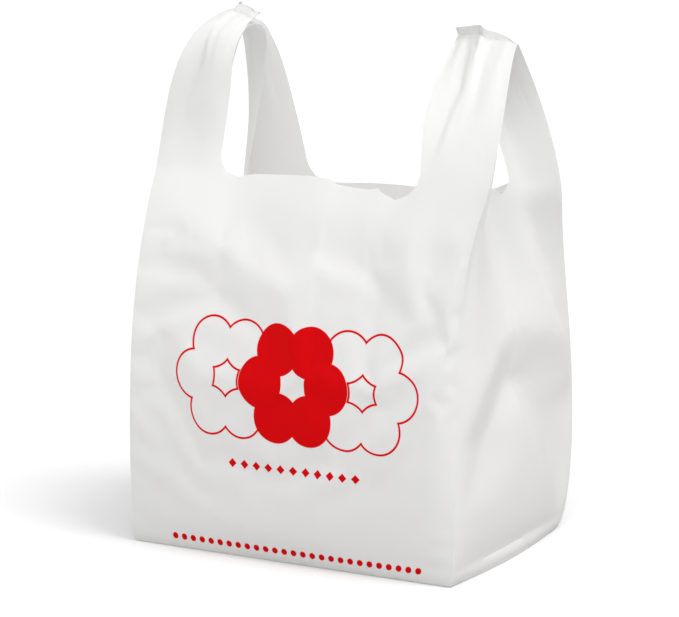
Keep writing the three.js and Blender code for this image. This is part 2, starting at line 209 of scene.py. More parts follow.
# Creases of the standing film
# Thin film that has been folded flat stands in facets between creases. Each crease is a line on the flat
# film: its places round the tube and up from the bottom seal, and how far the film stands out there.
creases = [
    # right side: the edge under which the belly tucks in, the hollows that run from the end of the gusset's
    # middle fold to the front and the back corner, the ridge below the rear one, and the end of that fold
    ((0.300, 0.200, 0), (0.316, 0.232, 0.004), (0.345, 0.258, 0.006), (0.380, 0.269, 0.009),
     (0.412, 0.262, 0.010), (0.438, 0.247, 0.010)),
    ((0.372, 0.228, -0.011), (0.332, 0.194, -0.009), (0.300, 0.146, 0)),
    ((0.372, 0.228, -0.011), (0.392, 0.224, -0.011), (0.411, 0.197, -0.011), (0.429, 0.163, -0.009),
     (0.445, 0.130, -0.005), (0.454, 0.110, 0)),
    ((0.380, 0.210, -0.004), (0.399, 0.182, -0.001), (0.417, 0.147, 0.001), (0.437, 0.113, 0.001)),
    ((0.380, 0.269, 0.009), (0.377, 0.250, 0.001), (0.372, 0.228, -0.011)),
    # right side, above: the hollow beside the slid front fold and its edge, the ridge from the gusset's top
    # to the back corner, the hollow behind that ridge, and a dent low down
    ((0.298, 0.360, -0.002), (0.299, 0.315, -0.003), (0.298, 0.270, -0.001)),
    ((0.310, 0.352, 0.001), (0.312, 0.310, 0.001), (0.309, 0.270, 0.001)),
    ((0.391, 0.368, 0.004), (0.403, 0.341, 0.008), (0.413, 0.312, 0.010), (0.423, 0.281, 0.011),
     (0.438, 0.247, 0.010), (0.449, 0.226, 0.006)),
    ((0.415, 0.372, -0.002), (0.426, 0.346, -0.004), (0.435, 0.317, -0.004), (0.444, 0.286, -0.002),
     (0.451, 0.258, -0.001)),
    ((0.340, 0.150, 0.000), (0.372, 0.176, -0.002), (0.398, 0.140, 0.000)),
    # left side: the belly's edge, the hollows below it, and a fold under the handle
    ((0.755, 0.250, 0.002), (0.786, 0.262, 0.005), (0.822, 0.268, 0.006), (0.862, 0.250, 0.004),
     (0.898, 0.225, 0.002)),
    ((0.830, 0.226, -0.006), (0.795, 0.172, -0.005), (0.762, 0.118, 0)),
    ((0.830, 0.226, -0.006), (0.873, 0.190, -0.004), (0.905, 0.140, 0)),
    ((0.805, 0.372, 0), (0.787, 0.345, 0.004), (0.770, 0.296, 0.004)),
    # front, below the left handle: a slanting ripple between two hollows, and the hollow beside the corner
    ((0.018, 0.352, 0.0015), (0.060, 0.333, 0.003), (0.100, 0.315, 0.0035), (0.142, 0.299, 0.002)),
    ((0.030, 0.315, -0.002), (0.075, 0.292, -0.0025), (0.112, 0.272, -0.0015)),
    ((0.055, 0.362, 0), (0.095, 0.345, -0.0015), (0.135, 0.325, -0.0015), (0.165, 0.318, 0)),
    ((0.012, 0.300, 0), (0.025, 0.270, -0.0025), (0.027, 0.230, -0.003), (0.020, 0.175, -0.001)),
    # front, below the mouth and the right handle: a soft roll, a hollow, an upright ripple, the slid fold
    ((0.140, 0.354, 0.001), (0.175, 0.360, 0.0025), (0.205, 0.356, 0.0015)),
    ((0.172, 0.332, -0.0015), (0.205, 0.322, -0.0025), (0.224, 0.298, -0.002)),
    ((0.232, 0.370, 0.001), (0.238, 0.340, 0.003), (0.246, 0.312, 0.003), (0.254, 0.285, 0.0015)),
    ((0.256, 0.358, -0.001), (0.263, 0.320, -0.002), (0.268, 0.280, -0.0015)),
    ((0.290, 0.372, 0), (0.289, 0.340, 0.003), (0.286, 0.304, 0.004), (0.281, 0.265, 0.003),
     (0.284, 0.225, 0.001)),
    # front, low down: dents where the flat folds were
    ((0.060, 0.238, 0.0015), (0.110, 0.226, 0.002), (0.160, 0.236, 0.001)),
    ((0.070, 0.172, -0.0015), (0.130, 0.160, -0.002), (0.190, 0.176, -0.001)),
    ((0.218, 0.240, 0.0015), (0.248, 0.208, 0.002), (0.256, 0.158, 0.001)),
    ((0.060, 0.128, 0.001), (0.140, 0.124, 0.0015), (0.220, 0.134, 0.0005)),
    # back: dents like the front's
    ((0.500, 0.360, 0.001), (0.525, 0.310, 0.003), (0.560, 0.262, 0.002)),
    ((0.545, 0.350, -0.002), (0.590, 0.318, -0.0025), (0.630, 0.330, -0.001)),
    ((0.705, 0.360, 0.001), (0.688, 0.305, 0.003), (0.655, 0.255, 0.002)),
    ((0.500, 0.220, -0.002), (0.580, 0.202, -0.0025), (0.660, 0.214, -0.0015)),
    ((0.520, 0.148, 0.0015), (0.600, 0.138, 0.002), (0.690, 0.150, 0.001)),
    # right handle's front strip: its cut edge, a crisp crease beside that, then soft folds
    ((0.234, 0.392, 0), (0.234, 0.440, 0), (0.234, 0.490, 0), (0.234, 0.525, 0)),
    ((0.239, 0.392, -0.001), (0.246, 0.426, -0.0022), (0.252, 0.463, -0.003), (0.251, 0.495, -0.002),
     (0.248, 0.522, -0.001)),
    ((0.243, 0.394, 0.0005), (0.250, 0.428, 0.0013), (0.256, 0.463, 0.0013), (0.255, 0.495, 0.0013),
     (0.252, 0.522, 0)),
    ((0.258, 0.410, 0), (0.263, 0.440, -0.001), (0.266, 0.470, -0.0015), (0.264, 0.505, -0.001)),
    ((0.273, 0.405, 0), (0.276, 0.440, 0.0015), (0.278, 0.480, 0.002), (0.275, 0.520, 0.0005)),
    # right handle's back strip: a ridge beside the fold, and a hollow
    ((0.471, 0.385, 0.001), (0.474, 0.430, 0.003), (0.471, 0.490, 0.003), (0.470, 0.520, 0.001)),
    ((0.490, 0.385, -0.001), (0.492, 0.430, -0.004), (0.488, 0.490, -0.003), (0.486, 0.520, -0.001)),
    # left handle's front strip: a hollow along the fold, a ridge, and the cut edge turned back
    ((0.014, 0.385, 0), (0.016, 0.420, -0.003), (0.018, 0.475, -0.005), (0.021, 0.515, -0.002)),
    ((0.043, 0.395, 0.001), (0.046, 0.440, 0.003), (0.043, 0.490, 0.003), (0.045, 0.515, 0.001)),
    ((0.058, 0.400, 0), (0.058, 0.442, -0.002), (0.058, 0.480, 0), (0.058, 0.510, -0.002)),
    # left handle's back strip: the same
    ((0.731, 0.385, 0.001), (0.730, 0.430, 0.003), (0.733, 0.490, 0.002)),
    ((0.713, 0.385, -0.001), (0.711, 0.430, -0.004), (0.714, 0.490, -0.004), (0.717, 0.520, -0.001)),
]
# The tube's own folds carry no crease. The table of creases reaches left of the first fold, for the handle
# strip that bends round it.
crease_left = -0.060
crease_right = 0.922
crease_top = 0.560
still_heights = (0.0, 0.100, 0.200, 0.300, 0.400, crease_top)
still_folds = [[(fold, up, 0) for up in still_heights] for fold in (crease_left, *wall_left)]
same_place = 1e-5
edge_slip = 1e-9


def facet_table():
    """Facets between the creases and the tube's folds, as flat corners and how far each stands out."""
    corners = []
    edges = []
    for line in creases + still_folds:
        first = len(corners)
        corners.extend(line)
        edges.extend((first + i, first + i + 1) for i in range(len(line) - 1))
    flat = [Vector(corner[:2]) for corner in corners]
    place, _, triangles, source, _, _ = delaunay_2d_cdt(flat, edges, [], 0, same_place)
    out = np.array([corners[numbers[0]][2] if numbers else 0 for numbers in source])
    place = np.array([tuple(corner) for corner in place])
    return [(place[list(triangle)], out[list(triangle)]) for triangle in triangles]


facets = facet_table()


def facet_offset(place):
    """How far the facets carry the film out from its wall at flat places."""
    offset = np.zeros(place.shape[:-1])
    for corner, out in facets:
        span = np.linalg.inv(np.stack((corner[1] - corner[0], corner[2] - corner[0]), -1))
        share = (place - corner[0]) @ span.T
        share = np.concatenate((1 - share.sum(-1, keepdims=True), share), -1)
        offset = np.where((share >= -edge_slip).all(-1), share @ out, offset)
    return offset


# The creases are sharp in the handles and soft lower down. They fade out at the tube's own folds.
crease_step = 0.002
crease_soft = 0.005
crease_reach = 7
sharp_from = 0.365
sharp_full = 0.390
fold_fade = 0.009
table_slip = 0.001
crease_along = np.arange(crease_left, crease_right, crease_step)
crease_up = np.arange(0, crease_top + crease_step / 2, crease_step)


def crease_table():
    """The facets on a grid of flat places, softened below the handles."""
    sharp = facet_offset(np.stack(np.meshgrid(crease_along, crease_up, indexing="ij"), -1))
    reach = np.arange(-crease_reach, crease_reach + 1)
    weights = np.exp(-((reach * crease_step / crease_soft) ** 2) / 2)
    weights = weights / weights.sum()
    soft = sharp
    for axis in (0, 1):
        wide = np.pad(soft, [(crease_reach * (side == axis),) * 2 for side in (0, 1)], mode="edge")
        soft = sum(
            weight * np.take(wide, np.arange(first, first + sharp.shape[axis]), axis)
            for first, weight in enumerate(weights)
        )
    soft = soft + (sharp - soft) * smoothstep(crease_up, sharp_from, sharp_full)
    to_fold = np.abs(crease_along[:, None] - wall_left).min(1)
    return soft * smoothstep(to_fold, 0, fold_fade)[:, None]


crease_grid = crease_table()


def crease_offset(place):
    """How far the creases carry the film out from its wall at flat places."""
    along = np.clip((place[..., 0] - crease_left) / crease_step, 0, len(crease_along) - 1 - table_slip)
    up = np.clip(place[..., 1] / crease_step, 0, len(crease_up) - 1 - table_slip)
    i = along.astype(int)
    j = up.astype(int)
    low = crease_grid[i, j] + (crease_grid[i + 1, j] - crease_grid[i, j]) * (along - i)
    high = crease_grid[i, j + 1] + (crease_grid[i + 1, j + 1] - crease_grid[i, j + 1]) * (along - i)
    return low + (high - low) * (up - j)


# The film lies flat at the foot, so the creases begin a little above it.
crease_from = 0.006
crease_full = 0.024


def outline_point(wall, across, share, height, inset=0.0):
    """Points of a wall's outline, as x and y, at shares of its width and height."""
    start = corner_at(wall, share, inset)
    run = corner_at(wall + 1, share, inset) - start
    out = np.stack((run[..., 1], -run[..., 0]), -1)
    out /= np.linalg.norm(out, axis=-1, keepdims=True)
    offset = wall_offset(wall, across, share, height)
    along = wall_left[wall] + across * wall_width[wall]
    place = np.stack(np.broadcast_arrays(along, base_half[1] + height), -1)
    offset = offset + crease_offset(place) * smoothstep(height, crease_from, crease_full)
    point = start + run * across[..., None] + out * offset[..., None]
    near = np.where(across < 0.5, 0, 1)
    corner = (wall + near) % 4
    closeness = np.clip(1 - np.abs(near - across) * wall_width[wall] / corner_round, 0, 1)
    ease = corner_ease * corner_round * closeness ** 2 * np.sin(np.pi * share) * (corner % 2)
    return point - corner_sign[corner] * ease[..., None]


# The mouth's front edge was cut a little unevenly: places along the panel, and how far the edge rises there.
# In the right gusset's gap a small flap of film stands up.
flap_width = 0.006
flap_rise = 0.006
edge_places = (0.076, 0.090, 0.142, 0.162, 0.168, 0.186, 0.197, 0.200, 0.204, 0.216, 0.229, 0.242)
edge_rises = (0.000, 0.003, 0.0065, 0.006, 0.002, 0.0005, 0.0005, 0.003, -0.001, -0.0055, -0.0035, 0.000)


def mouth_level(wall, across, point):
    """Height of the mouth's edge over a point of its outline: lower at the back than at the front."""
    back = (point[..., 1] - mouth_lean[1] + mouth_half[1]) / mouth_depth
    left = (mouth_lean[0] - point[..., 0]) / mouth_half[0]
    level = mouth_height - (mouth_drop + left_drop * smoothstep(left, 0, 1)) * smoothstep(back, 0, 1)
    if wall == 0:
        level = level + np.interp(across * panel_width, edge_places, edge_rises)
    if wall == 1:
        past = (across - 0.5) * gusset_depth - flap_width
        level = level + flap_rise * np.clip(1 - np.abs(past) / flap_width, 0, 1)
    return level


# Body of the film, from the base up to the mouth
# Walls and base are one stretch of the tube, squared out at the foot. Rows go up the walls and columns round
# them from the front left corner, and the base is the same columns drawn in to its middle. Each point keeps
# its place on the flat film, which the print follows.
strap_columns = 28
mouth_columns = 46
gap_columns = 6
foot_rows = 4
body_rows = 84
row_crowding = 1.12
base_rings = 12

points = []
places = []
faces = []


def add_rows(rows, flat):
    """Adds a grid of points with their flat places, and gives their numbers back in the same grid."""
    first = sum(len(block) for block in points)
    points.append(rows.reshape(-1, 3))
    places.append(flat.reshape(-1, 2))
    return first + np.arange(rows.shape[0] * rows.shape[1]).reshape(rows.shape[:2])


def join_rows(low, high):
    """Faces between two rows of point numbers, the second lying above the first."""
    faces.extend(zip(low[:-1], low[1:], high[1:], high[:-1]))


def wall_columns(wall):
    """Shares of a wall's width: a handle strip, the mouth or the gusset's gap, another handle strip."""
    strip = (handle_width + wall_radius[wall]) / wall_width[wall]
    middle = mouth_columns if wall % 2 == 0 else gap_columns
    return np.concatenate((
        np.linspace(0, strip, strap_columns, endpoint=False),
        np.linspace(strip, 1 - strip, middle, endpoint=False),
        np.linspace(1 - strip, 1, strap_columns, endpoint=False),
    ))


columns = [wall_columns(wall)[None, :] for wall in range(4)]
wall_start = np.cumsum([0] + [column.shape[1] for column in columns])

foot_angle = np.linspace(0, np.pi / 2, foot_rows, endpoint=False)[:, None]
body_share = (np.linspace(0, 1, body_rows + 1) ** row_crowding)[:, None]
body_parts = []
body_flat = []
for wall, across in enumerate(columns):
    foot_height = foot_radius * (1 - np.cos(foot_angle)) + 0 * across
    foot = []
    for angle, height in zip(foot_angle, foot_height):
        inset = foot_radius * (1 - math.sin(angle[0]))
        level = outline_point(wall, across, np.zeros((1, 1)), height[None, :], inset)
        foot.append(level)
    foot = np.concatenate(foot)
    edge = outline_point(wall, across, np.ones((1, 1)), np.full_like(across, mouth_height))
    wall_height = foot_radius + (mouth_level(wall, across, edge) - foot_radius) * body_share
    sides = outline_point(wall, across, body_share + 0 * across, wall_height)
    part = np.concatenate((foot, sides))
    height = np.concatenate((foot_height, wall_height))
    body_parts.append(np.concatenate((part, height[..., None]), -1))
    flat_up = base_half[1] + np.concatenate((foot_radius * foot_angle + 0 * across, wall_height))
    body_flat.append(np.stack((wall_left[wall] + across * wall_width[wall] + 0 * flat_up, flat_up), -1))
body = add_rows(np.concatenate(body_parts, 1), np.concatenate(body_flat, 1))
closed_body = np.concatenate((body, body[:, :1]), 1)
for low, high in zip(closed_body[:-1], closed_body[1:]):
    join_rows(low, high)

foot_row = np.concatenate(body_parts, 1)[:1]
foot_flat = np.concatenate(body_flat, 1)[:1]
ring_scale = np.linspace(1, 0, base_rings, endpoint=False)[1:, None, None]
base_flat = np.concatenate((foot_flat[..., :1] + 0 * ring_scale, foot_flat[..., 1:] * ring_scale), -1)
base = add_rows(foot_row * np.array((1, 1, 0)) * ring_scale, base_flat)
base_rows = np.concatenate((body[:1], base))
closed_base = np.concatenate((base_rows, base_rows[:, :1]), 1)
for outer, inner in zip(closed_base[:-1], closed_base[1:]):
    join_rows(inner, outer)
middle = int(add_rows(np.zeros((1, 1, 3)), np.array([[[panel_width / 2, 0.0]]]))[0, 0])
faces.extend((middle, b, a) for a, b in zip(closed_base[-1][:-1], closed_base[-1][1:]))

# Handles
# Four strips stand up from the mouth, each an angle of panel and gusset film that closes on its own fold. At
# the top each front strip is sealed to the back strip on its side, with a narrow fin of film above the seal.
corner_rows = 6
strap_rows = 54
fin_rows = 2
root_rise = 0.048
root_share = 0.12
seam_gap = 0.0006
layer_gap = 0.004
layer_reach = 0.2
fin_reach = 0.5

# For each handle, where its seal lies, how much height its bow takes, how the seal is turned and its length.
# Then, below the seal, how low its shoulders are and, front and back, how far they reach, how far aside their
# folds lie and how wide they are. Last, the fin's lean at the fold and at the cut edge, the seal's rise along
# it, and how far the panels' cut edges swing aside.
handles = [
    dict(
        side=-1, inset=0.044, behind=0.006, slack=0.041, turn=math.radians(-45), seal_length=0.046,
        drop=0.008, reach=(0.058, 0.052), hip=(0.029, 0.024), waist=(0.049, 0.030),
        lean=(math.radians(20), math.radians(52)),
        seal_rise=((-0.5, 0.000), (-0.1, 0.000), (0.1, -0.003), (0.5, -0.006)),
        back_gather=0.0, front_flare=0.0,
    ),
    dict(
        side=1, inset=0.038, behind=0.003, slack=0.051, turn=math.radians(-4), seal_length=0.052,
        drop=0.014, reach=(0.013, 0.013), hip=(0.024, 0.024), waist=(0.050, 0.050),
        lean=(math.radians(25), math.radians(-40)),
        seal_rise=((-0.5, -0.003), (-0.06, -0.003), (0.04, 0.001), (0.5, -0.001)),
        back_gather=0.018, front_flare=0.006,
    ),
]

# Pleats under the seals: each wave's depth, its count across a layer and its phase.
pleats = ((0.0028, 1.4, 0.0), (0.0016, 3.1, 1.1), (0.0007, 5.3, 0.4))
pleat_start = 0.35
pleat_full = 0.9
pleat_reach = 0.5

# Ways in which the right handle's cut edges swing, and the shares of the strip's length where they do.
gather_way = np.array((1, 0.4, 0))
gather_power = 2
gather_fall = (0.25, 0.7)
flare_way = np.array((-1, -0.6, 0))
flare_power = 4
flare_rise = (0.02, 0.42)
flare_fall = 0.55

strip_heights = np.concatenate((
    np.linspace(0, cut_radius, corner_rows + 1)[1:],
    np.linspace(cut_radius, handle_length, strap_rows + 1)[1:],
))[:, None]


def layer_width(wall, height):
    """Width of a strip's layer at a height above the bottom of the cut, its round corner included."""
    radius = wall_radius[wall]
    drop = np.clip(radius - height, 0, None)
    return handle_width + radius - np.sqrt(radius ** 2 - drop ** 2)


def with_height(point, height):
    """Gives places or steps that have x and y their heights."""
    return np.concatenate((point, (height + 0 * point[..., 0])[..., None]), -1)


def strip_root(corner, cross, height):
    """Where a strip leaves the mouth, and where the wall's slope carries it to above the mouth."""
    even = corner % 2 == 0
    panel = corner if even else corner - 1
    gusset = (corner + 3) % 4 if even else corner
    ends = []
    for wall, after in ((panel, even), (gusset, not even)):
        distance = np.abs(cross) * layer_width(wall, height) / wall_width[wall]
        across = distance if after else 1 - distance
        one = np.ones_like(across)
        level = mouth_level(wall, across, outline_point(wall, across, one, one * mouth_height))
        mouth = outline_point(wall, across, one, level)
        below = outline_point(wall, across, one - root_rise / mouth_height, level - root_rise)
        root = with_height(mouth, level)
        ends.append((root, root + with_height(mouth - below, root_rise)))
    on_panel = (cross < 0)[..., None]
    return [np.where(on_panel, a, b) for a, b in zip(*ends)]


def strip_points(handle, corner, cross, height):
    """Points of a strip, cross running from -1 at the panel's cut edge to 1 at the gusset's."""
    facing = corner_sign[corner][1]
    back = int(facing > 0)
    spread = np.abs(cross)
    place = spread - 0.5
    layer = np.sign(cross) * layer_gap / 2 * smoothstep(spread, 0, layer_reach)
    turn = np.array((math.cos(handle["turn"]), math.sin(handle["turn"]), 0))
    aside = np.array((-turn[1], turn[0], 0))
    seal_middle = np.array((
        handle["side"] * (mouth_half[0] - handle["inset"]) + mouth_lean[0],
        handle["behind"],
        mouth_height + handle_length - handle["slack"],
    ))
    root, above = strip_root(corner, cross, height)
    shoulder = seal_middle + np.stack((
        handle["side"] * (handle["hip"][back] - handle["waist"][back] * (place + 0.5)),
        facing * (handle["reach"][back] - layer),
        -handle["drop"] + 0 * place,
    ), -1)
    rise = np.interp(place, *zip(*handle["seal_rise"])) - layer
    seal = seal_middle - turn * (handle["side"] * handle["seal_length"] * place)[..., None]
    seal = seal + aside * facing * seam_gap + np.array((0, 0, 1)) * rise[..., None]
    share = height / handle_length + 0 * cross
    t = share[..., None]
    point = root * (1 - t) ** 3 + 3 * above * t * (1 - t) ** 2
    point = point + 3 * shoulder * t * t * (1 - t) + seal * t ** 3
    wave = sum(size * np.sin(2 * np.pi * count * spread + phase) for size, count, phase in pleats)
    fade = smoothstep(spread, 0, pleat_reach) * smoothstep(share, pleat_start, pleat_full)
    point = point + aside * (wave * fade)[..., None]
    along = wall_left[corner] + np.where(corner % 2, 1, -1) * cross * handle_width
    up = base_half[1] + mouth_height + height
    stand = crease_offset(np.stack((along, up), -1)) * smoothstep(share, 0, root_share)
    point = point + aside * (facing * stand)[..., None]
    gather = handle["back_gather"] * back * cross ** gather_power * (cross < 0)
    gather = gather * smoothstep(share, 0, root_share) * (1 - smoothstep(share, *gather_fall))
    flare = handle["front_flare"] * (1 - back) * cross ** flare_power * (cross < 0)
    flare = flare * smoothstep(share, *flare_rise) * smoothstep(1 - share, 0, flare_fall)
    return point + gather_way * gather[..., None] + flare_way * flare[..., None]


strip_cross = np.linspace(-1, 1, 2 * strap_columns + 1)[None, :]
seal_points = []
for handle in handles:
    ends = []
    for corner in (0, 3) if handle["side"] < 0 else (1, 2):
        cross = strip_cross[:, ::-1] if corner % 2 == 0 else strip_cross
        rows = strip_points(handle, corner, cross + 0 * strip_heights, strip_heights + 0 * cross)
        backwards = np.array((-math.sin(handle["turn"]), math.cos(handle["turn"]), 0))
        inwards = -backwards * corner_sign[corner][1]
        lean = np.interp(np.abs(cross), (0, 1), handle["lean"])
        fin_share = (np.arange(1, fin_rows + 1) / fin_rows)[:, None]
        rise = seal_fin * fin_share * smoothstep(-cross, 0, fin_reach)
        fin = rows[-1:] + np.array((0, 0, 1)) * (rise * np.cos(lean))[..., None]
        fin = fin + backwards * (rise * np.sin(lean))[..., None]
        fin = fin + inwards * (seam_gap / 2 * fin_share)[..., None]
        left = wall_left[corner] if corner else wall_left[4]
        sign = 1 if corner % 2 else -1
        flat_along = left + sign * cross * handle_width + 0 * strip_heights
        flat = np.stack((flat_along, base_half[1] + mouth_height + strip_heights + 0 * cross), -1)
        fin_flat = np.stack((flat_along[:1] + 0 * fin_share, flat[-1:, :, 1] + rise), -1)
        grid = add_rows(np.concatenate((rows, fin)), np.concatenate((flat, fin_flat)))
        start = wall_start[corner] - strap_columns
        root_row = body[-1][(start + np.arange(2 * strap_columns + 1)) % body.shape[1]]
        grid = np.concatenate((root_row[None], grid))
        for low, high in zip(grid[:-1], grid[1:]):
            join_rows(low, high)
        ends.append(grid[-1])
        seal_points.append(grid[-1 - fin_rows:].ravel())
    join_rows(ends[0], ends[1][::-1])

points = np.concatenate(points)
places = np.concatenate(places)
film_mesh = bpy.data.meshes.new("bag_film")
film_mesh.from_pydata(points.tolist(), [], [tuple(int(i) for i in face) for face in faces])
film_mesh.update()
bag = bpy.data.objects.new("bag_film", film_mesh)
bpy.context.scene.collection.objects.link(bag)

# Slack of the film
# The film is cut larger than the shape that it stands in, so it buckles: in soft dents over the walls and in
# upright gathers where each handle is drawn together under its seal. Base and seals hold still meanwhile.
wall_slack = 0.0065
handle_slack = 0.002
slack_start = 0.030
slack_full = 0.6 * mouth_height
slack_ease = (0.70 * mouth_height, 0.95 * mouth_height)
soft_hold = 0.13
gusset_hold = 0.42
handle_hold = 0.55
hold_turn = (0.78 * mouth_height, mouth_height + cut_radius)
weight_digits = 2
film_mass = 0.1
film_stretch = 30
film_shear = 15
film_bend = 8.0
settle_quality = 5
settle_frames = 16
least_shift = 1e-9
most_shift = 0.008

height = points[:, 2]
on_gusset = (places[:, 0] % (panel_width + gusset_depth) > panel_width) & (height < mouth_height)
held = np.where(on_gusset, gusset_hold, soft_hold)
held = held + (handle_hold - held) * smoothstep(height, *hold_turn)
held = np.round(held, weight_digits)
held[height < foot_radius] = 1
held[np.concatenate(seal_points)] = 1
hold = bag.vertex_groups.new(name="hold")
for weight in np.unique(held):
    hold.add(np.flatnonzero(held == weight).tolist(), float(weight), "REPLACE")
snug = bag.vertex_groups.new(name="snug")
slack = wall_slack * smoothstep(height, slack_start, slack_full)
slack += (handle_slack - wall_slack) * smoothstep(height, *slack_ease)
tight = np.round(1 - slack / wall_slack, weight_digits)
for weight in np.unique(tight):
    snug.add(np.flatnonzero(tight == weight).tolist(), float(weight), "REPLACE")

cloth = bag.modifiers.new("slack", "CLOTH")
cloth.settings.vertex_group_mass = "hold"
cloth.settings.vertex_group_shrink = "snug"
cloth.settings.shrink_min = -wall_slack
cloth.settings.shrink_max = 0
cloth.settings.quality = settle_quality
cloth.settings.mass = film_mass
cloth.settings.tension_stiffness = film_stretch
cloth.settings.compression_stiffness = film_stretch
cloth.settings.shear_stiffness = film_shear
cloth.settings.bending_stiffness = film_bend
cloth.settings.effector_weights.gravity = 0
cloth.point_cache.frame_end = settle_frames
cloth.collision_settings.use_collision = False
for step in range(1, settle_frames + 1):
    bpy.context.scene.frame_set(step)
settled = np.empty(len(points) * 3)
bag.evaluated_get(bpy.context.evaluated_depsgraph_get()).data.vertices.foreach_get("co", settled)
bag.modifiers.remove(cloth)
bag.vertex_groups.clear()
bpy.context.scene.frame_set(1)
shift = settled.reshape(-1, 3) - points
length = np.linalg.norm(shift, axis=1, keepdims=True)
shift *= np.minimum(1, most_shift / np.maximum(length, least_shift))
points = points + shift

# Roots of the handles
# The film runs on from the walls into the handles without a bend, so the points about the mouth's level are
# eased towards their neighbours. The cut edges and the tube's folds stay where they are.
ease_full = 0.0144
ease_reach = 0.036
ease_rounds = 10
ease_step = 0.5
fold_still = 0.004
fold_free = 0.012

ends = np.empty(len(film_mesh.edges) * 2, int)
film_mesh.edges.foreach_get("vertices", ends)
ends = ends.reshape(-1, 2)
face_edges = np.empty(len(film_mesh.loops), int)
film_mesh.loops.foreach_get("edge_index", face_edges)
ease = 1 - smoothstep(np.abs(points[:, 2] - mouth_height), ease_full, ease_reach)
ease[ends[np.bincount(face_edges, minlength=len(ends)) == 1]] = 0
to_fold = np.abs(places[:, :1] - wall_left).min(1)
ease *= smoothstep(to_fold, fold_still, fold_free)
neighbours = np.bincount(ends.ravel(), minlength=len(points))[:, None]
for _ in range(ease_rounds):
    total = np.zeros_like(points)
    np.add.at(total, ends[:, 0], points[ends[:, 1]])
    np.add.at(total, ends[:, 1], points[ends[:, 0]])
    points = points + ease_step * ease[:, None] * (total / neighbours - points)
film_mesh.vertices.foreach_set("co", points.ravel())
film_mesh.update()

# Print
# The front was printed on the flat film with one red ink: three rosettes in a row, the middle one solid, a
# short line of diamonds below them and a line of dots along the foot. It follows the film's flat places.
film_white = (0.96, 0.96, 0.957, 1)
ink_red = (0.86, 0.002, 0.006, 1)
ink_edge = 0.0004
ink_line = 0.0016
print_middle = 0.152
rosette_height = 0.232
rosette_step = 0.060
petal_reach = 0.029
petal_radius = 0.0185
petal_count = 6
diamond_height = 0.168
diamond_step = 0.011
diamond_side = 5
diamond_size = 0.0036
dot_height = 0.104
dot_step = 0.0085
dot_side = 13
dot_radius = 0.0026

flat_map = film_mesh.uv_layers.new(name="flat")
corner_points = np.empty(len(film_mesh.loops), int)
film_mesh.loops.foreach_get("vertex_index", corner_points)
corner_flat = places[corner_points]
tube = wall_left[4]
for face in film_mesh.polygons:
    around = corner_flat[face.loop_start:face.loop_start + face.loop_total, 0]
    if np.ptp(around) > tube / 2:
        around[around < tube / 2] += tube
flat_map.data.foreach_set("uv", corner_flat.ravel())


def add_math(tree, operation, *values):
    """A Math node, each of its values a number or another node's output."""
    step = tree.nodes.new("ShaderNodeMath")
    step.operation = operation
    for socket, value in zip(step.inputs, values):
        if isinstance(value, (int, float)):
            socket.default_value = value
        else:
            tree.links.new(value, socket)
    return step.outputs["Value"]


def add_length(tree, along, up):
    """Length of a step on the flat film, from its two parts."""
    squares = [add_math(tree, "MULTIPLY", part, part) for part in (along, up)]
    return add_math(tree, "SQRT", add_math(tree, "ADD", *squares))


def add_ink(tree, depth):
    """One where a shape's depth is above nothing, with a soft edge."""
    step = add_math(tree, "MULTIPLY_ADD", depth, 1 / ink_edge, 0.5)
    return add_math(tree, "MINIMUM", add_math(tree, "MAXIMUM", step, 0.0), 1.0)


rosette_tree = bpy.data.node_groups.new("rosette", "ShaderNodeTree")
for name in ("Along", "Up", "Middle along", "Middle up", "Reach", "Petal", "Petals", "Line", "Solid"):
    rosette_tree.interface.new_socket(name, in_out="INPUT", socket_type="NodeSocketFloat")
rosette_tree.interface.new_socket("Ink", in_out="OUTPUT", socket_type="NodeSocketFloat")
rosette_in = rosette_tree.nodes.new("NodeGroupInput").outputs
aside = add_math(rosette_tree, "SUBTRACT", rosette_in["Along"], rosette_in["Middle along"])
above = add_math(rosette_tree, "SUBTRACT", rosette_in["Up"], rosette_in["Middle up"])
angle = add_math(rosette_tree, "ARCTAN2", above, aside)
away = add_length(rosette_tree, aside, above)
sector = add_math(rosette_tree, "DIVIDE", 2 * math.pi, rosette_in["Petals"])
petal_number = add_math(rosette_tree, "ROUND", add_math(rosette_tree, "DIVIDE", angle, sector))
turned = add_math(rosette_tree, "MULTIPLY", sector, petal_number)
folded = add_math(rosette_tree, "SUBTRACT", angle, turned)
outwards = add_math(rosette_tree, "MULTIPLY", away, add_math(rosette_tree, "COSINE", folded))
ahead_of = add_math(rosette_tree, "SUBTRACT", outwards, rosette_in["Reach"])
beside = add_math(rosette_tree, "MULTIPLY", away, add_math(rosette_tree, "SINE", folded))
from_petal = add_length(rosette_tree, ahead_of, beside)
inside = add_math(rosette_tree, "SUBTRACT", rosette_in["Petal"], from_petal)
half_line = add_math(rosette_tree, "MULTIPLY", rosette_in["Line"], 0.5)
from_edge = add_math(rosette_tree, "ABSOLUTE", inside)
edge_ink = add_ink(rosette_tree, add_math(rosette_tree, "SUBTRACT", half_line, from_edge))
solid_ink = add_math(rosette_tree, "MULTIPLY", add_ink(rosette_tree, inside), rosette_in["Solid"])
rosette_out = rosette_tree.nodes.new("NodeGroupOutput")
rosette_tree.links.new(add_math(rosette_tree, "MAXIMUM", edge_ink, solid_ink), rosette_out.inputs["Ink"])

